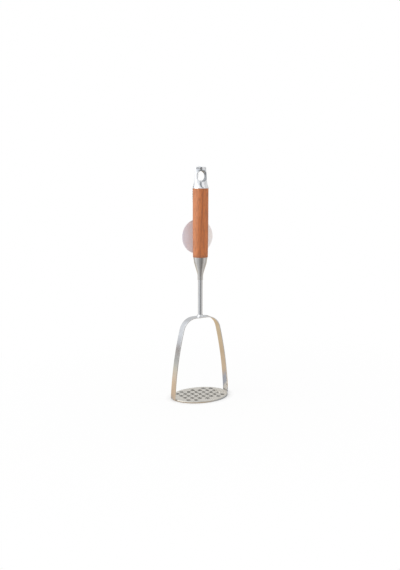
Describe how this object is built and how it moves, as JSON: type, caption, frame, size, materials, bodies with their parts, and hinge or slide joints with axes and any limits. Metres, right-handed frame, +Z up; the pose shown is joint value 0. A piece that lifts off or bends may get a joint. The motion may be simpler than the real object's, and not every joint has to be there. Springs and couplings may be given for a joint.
{
  "type": "potato masher",
  "caption": "Potato masher: oval perforated plate on a bent strap yoke, steel shank and ferrule, turned wooden handle, metal hanging cap with a bead-chain tag.",
  "frame": {"origin": "on the masher's axis, at the level the plate's rim stands on", "axes": "+Z up the handle, X along the yoke and the plate's long axis, +Y to the back where the tag hangs"},
  "size_m": [0.0814, 0.06, 0.3009],
  "materials": {
    "plate_steel": "satin, pressed",
    "strap_steel": "polished flat bar",
    "rod_steel": "polished",
    "collar_steel": "polished",
    "ferrule_steel": "drawn and polished",
    "washer_steel": "plain",
    "handle_wood": "sealed hardwood",
    "cap_metal": "polished casting",
    "hook_wire": "plated round wire",
    "bead_metal": "nickel plated",
    "link_metal": "nickel plated",
    "clasp_metal": "nickel plated",
    "tag_card": "pearly"
  },
  "bodies": {
    "masher": {"mashing_plate": "plate_steel", "yoke_strap": "strap_steel", "shank_rod": "rod_steel", "shank_collar": "collar_steel", "ferrule": "ferrule_steel", "stop_washer": "washer_steel", "wood_handle": "handle_wood", "hanging_cap": "cap_metal", "hanging_hook": "hook_wire"},
    "chain": {"chain_beads": "bead_metal", "chain_links": "link_metal", "chain_clasp": "clasp_metal"},
    "tag": {"hang_tag": "tag_card"}
  },
  "joints": [
    {"name": "chain_swing", "type": "hinge", "parent": "masher", "child": "chain", "pos_m": [0, 0.0096, 0.2793], "axis": [1, 0, 0], "range_deg": [0, 75]},
    {"name": "tag_swing", "type": "hinge", "parent": "chain", "child": "tag", "pos_m": [0.0048, 0.01629, 0.22905], "axis": [0.9997, -0.0262, 0], "range_deg": [-5, 30]}
  ]
}
